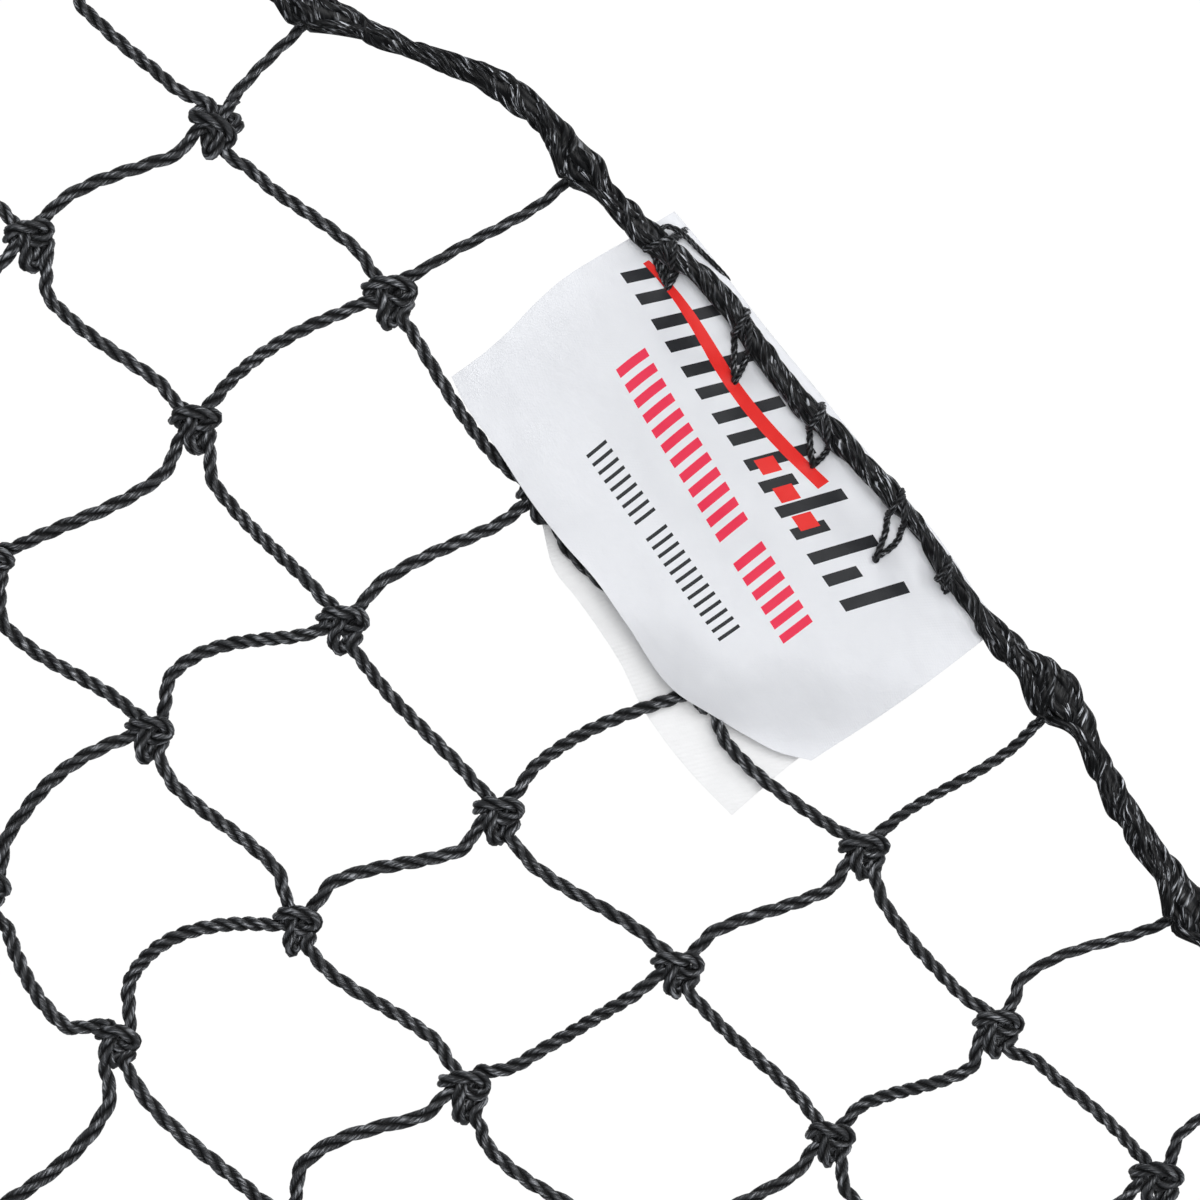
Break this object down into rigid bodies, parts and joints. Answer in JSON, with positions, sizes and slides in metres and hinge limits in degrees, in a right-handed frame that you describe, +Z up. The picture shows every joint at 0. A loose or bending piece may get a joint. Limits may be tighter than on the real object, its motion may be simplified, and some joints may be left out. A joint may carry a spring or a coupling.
{
  "type": "hockey goal net",
  "caption": "Black knotted hockey goal net held in its goal shape: flat top, leaning back, two sides, border ropes, seam cords and a folded tape label with two flaps.",
  "frame": {"origin": "middle of the net's footprint, on the floor that the base ropes lie on", "axes": "+X across the mouth, +Y from the mouth to the back, +Z up; the mouth faces -Y"},
  "size_m": [1.8468, 1.0828, 1.2309],
  "materials": {
    "black_twine": "three-strand twisted nylon twine, black, slight sheen",
    "black_rope": "bundled twisted nylon cord, black, fibrous",
    "seam_cord": "twisted nylon cord, black",
    "lashing_twine": "wound nylon twine, black",
    "stitch_twine": "thin twisted nylon twine, black",
    "white_tape": "white woven satin tape, soft sheen",
    "printed_tape": "white woven satin tape with plain printed bands"
  },
  "bodies": {
    "net": {"netting_top_lengthwise": "black_twine", "netting_top_crosswise": "black_twine", "netting_back_lengthwise": "black_twine", "netting_back_crosswise": "black_twine", "netting_left_upright": "black_twine", "netting_left_level": "black_twine", "netting_right_upright": "black_twine", "netting_right_level": "black_twine", "mouth_rope_top": "black_rope", "mouth_rope_left": "black_rope", "mouth_rope_right": "black_rope", "base_rope_left": "black_rope", "base_rope_right": "black_rope", "base_rope_rear": "black_rope", "seam_cord_top_left": "seam_cord", "seam_cord_top_right": "seam_cord", "seam_cord_top_rear": "seam_cord", "seam_cord_rear_left": "seam_cord", "seam_cord_rear_right": "seam_cord", "lashing_mouth_top_left": "lashing_twine", "lashing_mouth_top_right": "lashing_twine", "lashing_rear_top_left": "lashing_twine", "lashing_rear_top_right": "lashing_twine", "lashing_mouth_base_left": "lashing_twine", "lashing_mouth_base_right": "lashing_twine", "lashing_rear_base_left": "lashing_twine", "lashing_rear_base_right": "lashing_twine", "label_fold": "white_tape", "label_stitch_1": "stitch_twine", "label_stitch_2": "stitch_twine", "label_stitch_3": "stitch_twine", "label_stitch_4": "stitch_twine", "label_stitch_5": "stitch_twine"},
    "label_front": {"label_front_flap": "printed_tape"},
    "label_back": {"label_back_flap": "white_tape"}
  },
  "joints": [
    {"name": "label_front_lift", "type": "hinge", "parent": "net", "child": "label_front", "pos_m": [0.01, -0.5234, 1.22215], "axis": [1, 0, 0], "range_deg": [0, 110]},
    {"name": "label_back_drop", "type": "hinge", "parent": "net", "child": "label_back", "pos_m": [0.01, -0.5234, 1.21625], "axis": [1, 0, 0], "range_deg": [-110, 0]}
  ]
}
